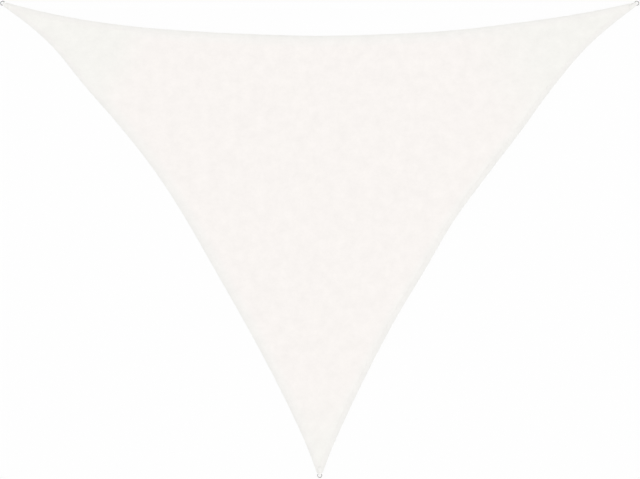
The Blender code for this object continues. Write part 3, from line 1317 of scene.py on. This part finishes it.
@dataclass(frozen=True)
class CornerLoop:
    """A webbing strap folded round the ring's bar, both tails sewn on the corner of the cloth."""

    ring: DRing
    width: float = 0.024
    thickness: float = 0.0016
    selvedge_rise: float = 0.05 * MM
    tail: float = 0.058
    # The gap between the tails, the one round the bar, and the angle round it where the slopes end.
    split: float = 0.0004
    clearance: float = 0.0003
    neck: float = math.radians(60)
    # The points of its line: on a tail, in the bend before the bar, and round the bar. Then those
    # of its section: round a selvedge, and across a face from one selvedge to the other.
    line_steps: tuple[int, int, int] = (40, 9, 41)
    section_steps: tuple[int, int] = (7, 12)
    stitch: Stitch = Stitch(
        pitch=0.0032, length=0.0028, radius=0.00036, arch=0.00016, dip=0.0004, sides=6
    )
    # The sewn box: where it starts from the bar, and how far inside the tail's end and edges it is.
    box_from_bar: float = 0.020
    box_from_end: float = 0.006
    box_from_edge: float = 0.0035
    # The bar of thread at the ring: its distance from the ring's bar, half its width, its points.
    zigzag_at: float = 0.0145
    zigzag_swing: float = 0.0012
    zigzag_points: int = 23
    thread_lift: float = 0.02 * MM

    def side_line(self) -> Array:
        """The middle of the strap's thickness, seen from the side: distance from the bar, and height.

        It comes along the upper tail, slopes up to the bar, goes round its outside, and runs
        back along the lower tail. The bend from tail to slope is a parabola that reaches a
        third of the slope's run to both sides.

        Returns:
            The points, the heights being from the plane between the tails.
        """
        tail_steps, knee_steps, turn_steps = self.line_steps
        radius = self.ring.wire + self.clearance + self.thickness / 2
        level = (self.split + self.thickness) / 2
        leave = np.array((radius * math.cos(self.neck), radius * math.sin(self.neck)))
        fall = (leave[1] - level) * math.tan(self.neck)
        ease = fall / 3
        far, bend = np.array((leave[0] + fall + ease, level)), np.array((leave[0] + fall, level))
        near = leave + (bend - leave) * (1 - ease / np.hypot(*(bend - leave)))
        share = np.linspace(0, 1, knee_steps)[:, None]
        knee = far * (1 - share) ** 2 + 2 * bend * share * (1 - share) + near * share**2
        tail = np.linspace(self.tail, far[0], tail_steps)[:-1]
        angles = np.linspace(self.neck, 2 * math.pi - self.neck, turn_steps)
        turn = radius * np.column_stack([np.cos(angles), np.sin(angles)])
        upper = np.vstack([np.column_stack([tail, np.full_like(tail, level)]), knee])
        return np.vstack([upper, turn, upper[::-1] * (1, -1)])

    def profile(self) -> Array:
        """The strap's section: flat faces between round selvedges that stand a little proud.

        Returns:
            The section's outline.
        """
        turn_steps, face_steps = self.section_steps
        turn = np.linspace(-math.pi / 2, math.pi / 2, turn_steps)
        half, soft = self.width / 2, self.thickness / 2
        right = np.column_stack([half - soft + soft * np.cos(turn), soft * np.sin(turn)])
        over = np.linspace(half - soft, -(half - soft), face_steps)[1:-1]
        upper = np.column_stack([over, np.full_like(over, soft - self.selvedge_rise)])
        return np.vstack([right, upper, right * (-1, -1), upper * (-1, -1)])

    def length(self) -> float:
        """The strap's whole length along its middle."""
        return float(distance_along(self.side_line())[-1])

    def axes(self) -> tuple[Array, Array, Array]:
        """The middle of the ring's bar, the direction along it, and the one out of the sail."""
        middle, sideways, _, _ = self.ring.axes()
        return middle, sideways, np.array((*self.ring.plan.corner(self.ring.corner).out, 0.0))

    def build(self, surface: bpy.types.Material) -> bpy.types.Object:
        """Build the strap as its section carried along its side line.

        Args:
            surface: the webbing's material.

        Returns:
            The strap, with its UV map in metres across and along it.
        """
        middle, sideways, out = self.axes()
        line, profile = self.side_line(), self.profile()
        path = middle - np.outer(line[:, 0], out) + np.outer(line[:, 1], UP)
        way = unit(np.vstack([line[1] - line[0], line[2:] - line[:-2], line[-1] - line[-2]]))
        normal = np.outer(way[:, 1], out) + np.outer(way[:, 0], UP)
        across = np.broadcast_to(sideways, path.shape)
        vertices, faces = carried(path, across, normal, profile, closed=False)
        run = distance_along(line)
        spots = np.stack(np.broadcast_arrays(profile[None, :, 0], run[:, None]), axis=-1).reshape(-1, 2)
        uv = ("strap", np.vstack([spots[block.ravel()] for block in faces]))
        return mesh_object(f"corner_strap_{self.ring.corner.value}", vertices, faces, surface, uv)

    def build_stitches(self, surface: bpy.types.Material) -> bpy.types.Object:
        """Build the box with a cross in it that holds the tails, and the bar of thread at the ring.

        Args:
            surface: the thread's material.

        Returns:
            The thread.
        """
        middle, sideways, out = self.axes()
        near, far = self.box_from_bar, self.tail - self.box_from_end
        half = self.width / 2 - self.box_from_edge
        corners = np.array(((half, near), (half, far), (-half, far), (-half, near)))
        runs = ((0, 1), (1, 2), (2, 3), (3, 0), (0, 2), (1, 3))
        rows = [spaced(corners[[*run]], self.stitch.pitch) for run in runs]
        count = self.zigzag_points
        swing = self.zigzag_swing * (-1.0) ** np.arange(count)
        zigzag = np.column_stack([np.linspace(-half, half, count), self.zigzag_at + swing])
        rows.append(((zigzag[:-1] + zigzag[1:]) / 2, unit(np.diff(zigzag, axis=0))))
        spots, ways = map(np.vstack, zip(*rows))
        height = (self.split / 2 + self.thickness) + self.thread_lift
        flat = middle + np.outer(spots[:, 0], sideways) - np.outer(spots[:, 1], out)
        along = np.outer(ways[:, 0], sideways) - np.outer(ways[:, 1], out)
        facing = np.broadcast_to(UP, flat.shape)
        return self.stitch.sew(
            f"strap_thread_{self.ring.corner.value}", surface, flat + height * UP, along, facing
        )


# ----------------------------------------
# The studio
# ----------------------------------------


@dataclass(frozen=True)
class Studio:
    """White paper floor, an even sky with a darker top, one soft lamp, and the camera above."""

    floor_half: float = 90.0
    floor_height: float = -0.00015
    # The sky's strength overhead and at the horizon, and the sines of the heights between which
    # it changes.
    zenith: float = 0.42
    horizon: float = 1.08
    sky_rise: Span = (0.1, 1.0)
    lamp_strength: float = 1.45
    lamp_spread: float = math.radians(35)
    lamp_tilt: Span = (math.radians(12), math.radians(18))
    lens: float = 100.0
    sensor: float = 36.0
    sight: float = 200.0
    # The picture is 640 pixels wide, and a pixel is 7.885 mm of the sail.
    frame_width: float = 640 * 7.885 * MM
    aim: Span = (0.0020, -0.0010)

    def build_floor(self, surface: bpy.types.Material) -> bpy.types.Object:
        """Build the floor, one large square.

        Args:
            surface: the floor's material.

        Returns:
            The floor.
        """
        far = self.floor_half
        corners = np.array(((-far, -far), (far, -far), (far, far), (-far, far)))
        vertices = np.column_stack([corners, np.full(4, self.floor_height)])
        return mesh_object("studio_floor", vertices, [np.array([[0, 1, 2, 3]])], surface)

    def build_sky(self) -> None:
        """Build the world's light: white at the horizon, greyer overhead, by the direction's height."""
        world = bpy.data.worlds.new("studio_sky")
        world.use_nodes = True
        bpy.context.scene.world = world
        tree, (low, high) = world.node_tree, self.sky_rise
        way = add_node(tree, "TexCoord").outputs["Generated"]
        rise = add_node(tree, "SeparateXYZ", {0: way}).outputs[2]
        level = add_node(tree, "MapRange", {0: rise, 1: low, 2: high, 3: self.horizon, 4: self.zenith})
        fill(tree.nodes["Background"], {"Color": (1.0, 1.0, 1.0, 1.0), "Strength": level})

    def build_lamp(self) -> None:
        """Build the lamp, as wide and even as a lit ceiling."""
        lamp = bpy.data.lights.new("soft_lamp", "SUN")
        lamp.energy = self.lamp_strength
        lamp.angle = self.lamp_spread
        in_scene("soft_lamp", lamp).rotation_euler = (*self.lamp_tilt, 0.0)

    def build_camera(self) -> None:
        """Build the camera, straight above and looking down, with +Y up in the picture."""
        camera = bpy.data.cameras.new("camera")
        camera.lens, camera.sensor_width, camera.clip_end = self.lens, self.sensor, self.sight
        piece = in_scene("camera", camera)
        piece.location = (*self.aim, self.frame_width * self.lens / self.sensor)
        bpy.context.scene.camera = piece


def join_sail(piece: bpy.types.Object, slot: str, *nodes: str) -> bpy.types.Object:
    """Let a piece ride on the sail and stand for the nodes it replaces.

    Args:
        piece: the piece.
        slot: the record's material slot; not used.
        nodes: the nodes that it replaces.

    Returns:
        The piece.
    """
    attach(piece, "root")
    if nodes:
        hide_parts(*nodes)
    LOG.info("%s: %d faces", piece.name, len(piece.data.polygons))
    return piece


def main() -> None:
    """Build the studio, the sheet with its thread, then the ring and the loop of each corner."""
    logging.basicConfig(level=logging.INFO, format="%(message)s")
    bpy.context.scene.view_settings.view_transform = "Standard"
    studio = Studio()
    studio.build_camera()
    studio.build_floor(StudioPaper().material())
    studio.build_sky()
    studio.build_lamp()

    plan = SailPlan()
    sheet = SailSheet(plan)
    cloth, thread = KnittedCloth().material(), SewingThread().material()
    webbing, steel = WovenWebbing().material(), SatinStainless().material()
    sail = join_sail(sheet.build(cloth), "cloth", "sail")
    stitching = HemStitching(sheet)
    threads = [join_sail(stitching.build(edge, thread), "cloth") for edge in Edge]
    # The cut is larger than the finished sail by the hem that is turned over all round it.
    for corner in Corner:
        ring = DRing(plan, corner)
        loop = CornerLoop(ring)
        join_sail(ring.build(steel), "steel", f"ring_{corner.value}")
        strap = join_sail(loop.build(webbing), "webbing", f"loop_{corner.value}")
        sewn = join_sail(loop.build_stitches(thread), "webbing")
        loop.length()


if __name__ == "__main__":
    main()
